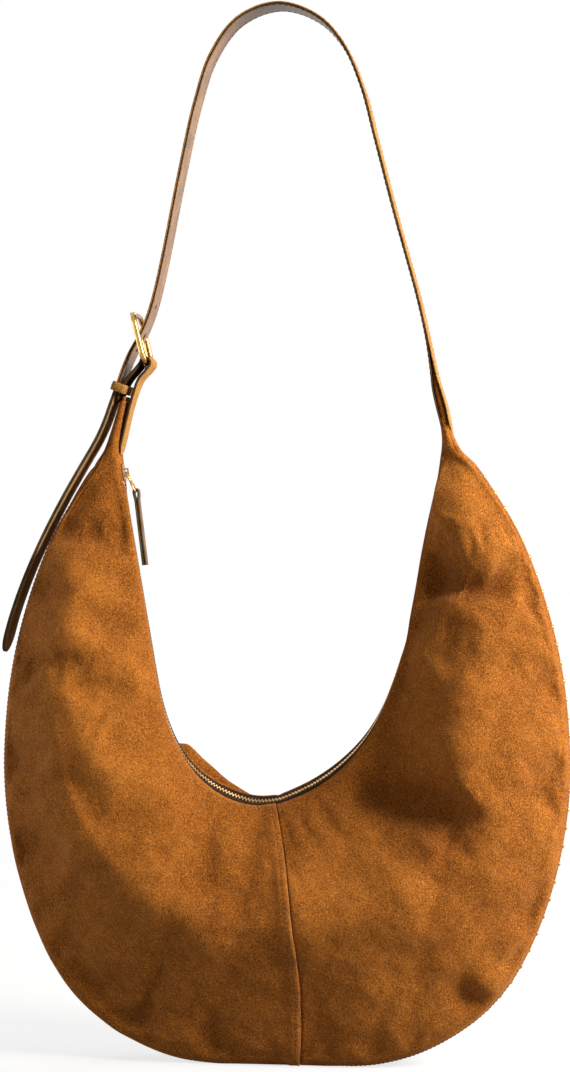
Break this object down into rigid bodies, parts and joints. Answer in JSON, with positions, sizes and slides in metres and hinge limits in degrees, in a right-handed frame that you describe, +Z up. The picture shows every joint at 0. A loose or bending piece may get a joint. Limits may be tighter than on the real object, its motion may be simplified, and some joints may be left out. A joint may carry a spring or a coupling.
{
  "type": "hobo bag",
  "caption": "Crescent hobo shoulder bag in tan suede with a curved top zip, a studded edge band, a buckled strap with a long tail, and a leather zip puller.",
  "frame": {"origin": "on the floor under the middle of the bag, on the flat middle of the edge band", "axes": "+Z up, +X along the bag from the buckle's end to the sewn end of the strap, +Y from the front to the back"},
  "size_m": [0.4293, 0.1098, 0.793],
  "materials": {
    "suede": "tan-brown suede with a short matte nap",
    "smooth_leather": "smooth brown leather with a satin sheen",
    "brass": "polished pale gold",
    "lining": "plain woven cotton",
    "zip_tape": "dark brown woven tape"
  },
  "bodies": {
    "bag": {"front_panel_left": "suede", "front_panel_right": "suede", "back_panel_left": "suede", "back_panel_right": "suede", "edge_band_left": "suede", "edge_band_right": "suede", "studs_left": "brass", "studs_right": "brass", "front_facing": "smooth_leather", "back_facing": "smooth_leather", "front_lining": "lining", "back_lining": "lining", "slip_pocket": "lining", "pocket_binding": "smooth_leather", "zip_tape_front": "zip_tape", "zip_tape_back": "zip_tape", "zip_teeth_front": "brass", "zip_teeth_back": "brass", "zip_top_stop_front": "brass", "zip_top_stop_back": "brass", "zip_bottom_stop": "brass"},
    "strap": {"strap_outer": "suede", "strap_lining": "smooth_leather", "neck_left": "suede", "neck_right": "suede", "buckle_tab": "smooth_leather"},
    "tail": {"tail_outer": "suede", "tail_lining": "smooth_leather"},
    "keeper": {"keeper_loop": "suede"},
    "buckle": {"buckle_frame": "brass"},
    "prong": {"buckle_prong": "brass"},
    "slider": {"zip_slider": "brass"},
    "pull": {"zip_pull_link": "brass"},
    "puller": {"zip_puller": "smooth_leather"}
  },
  "joints": [
    {"name": "strap_fall", "type": "hinge", "parent": "bag", "child": "strap", "pos_m": [0, 0, 0.464], "axis": [1, 0, 0], "range_deg": [-90, 90]},
    {"name": "tail_swing", "type": "hinge", "parent": "strap", "child": "tail", "pos_m": [-0.1302, 0, 0.494], "axis": [0, 1, 0], "range_deg": [0, 50]},
    {"name": "keeper_slide", "type": "slide", "parent": "strap", "child": "keeper", "axis": [0.3584, 0, 0.9336], "range_m": [-0.002, 0.002]},
    {"name": "buckle_rock", "type": "hinge", "parent": "strap", "child": "buckle", "pos_m": [-0.1038, 0, 0.5238], "axis": [0, 1, 0], "range_deg": [-4, 4]},
    {"name": "prong_lift", "type": "hinge", "parent": "buckle", "child": "prong", "pos_m": [-0.1038, 0, 0.5238], "axis": [0, 1, 0], "range_deg": [-5, 0]},
    {"name": "zip_slide", "type": "slide", "parent": "bag", "child": "slider", "axis": [0.1688, 0, -0.9857], "range_m": [0, 0.105]},
    {"name": "pull_swing", "type": "hinge", "parent": "slider", "child": "pull", "pos_m": [-0.12074, 0, 0.44203], "axis": [0, 1, 0], "range_deg": [-45, 0]},
    {"name": "puller_swing", "type": "hinge", "parent": "pull", "child": "puller", "pos_m": [-0.11309, 0, 0.42764], "axis": [0, 1, 0], "range_deg": [-40, 0]}
  ]
}
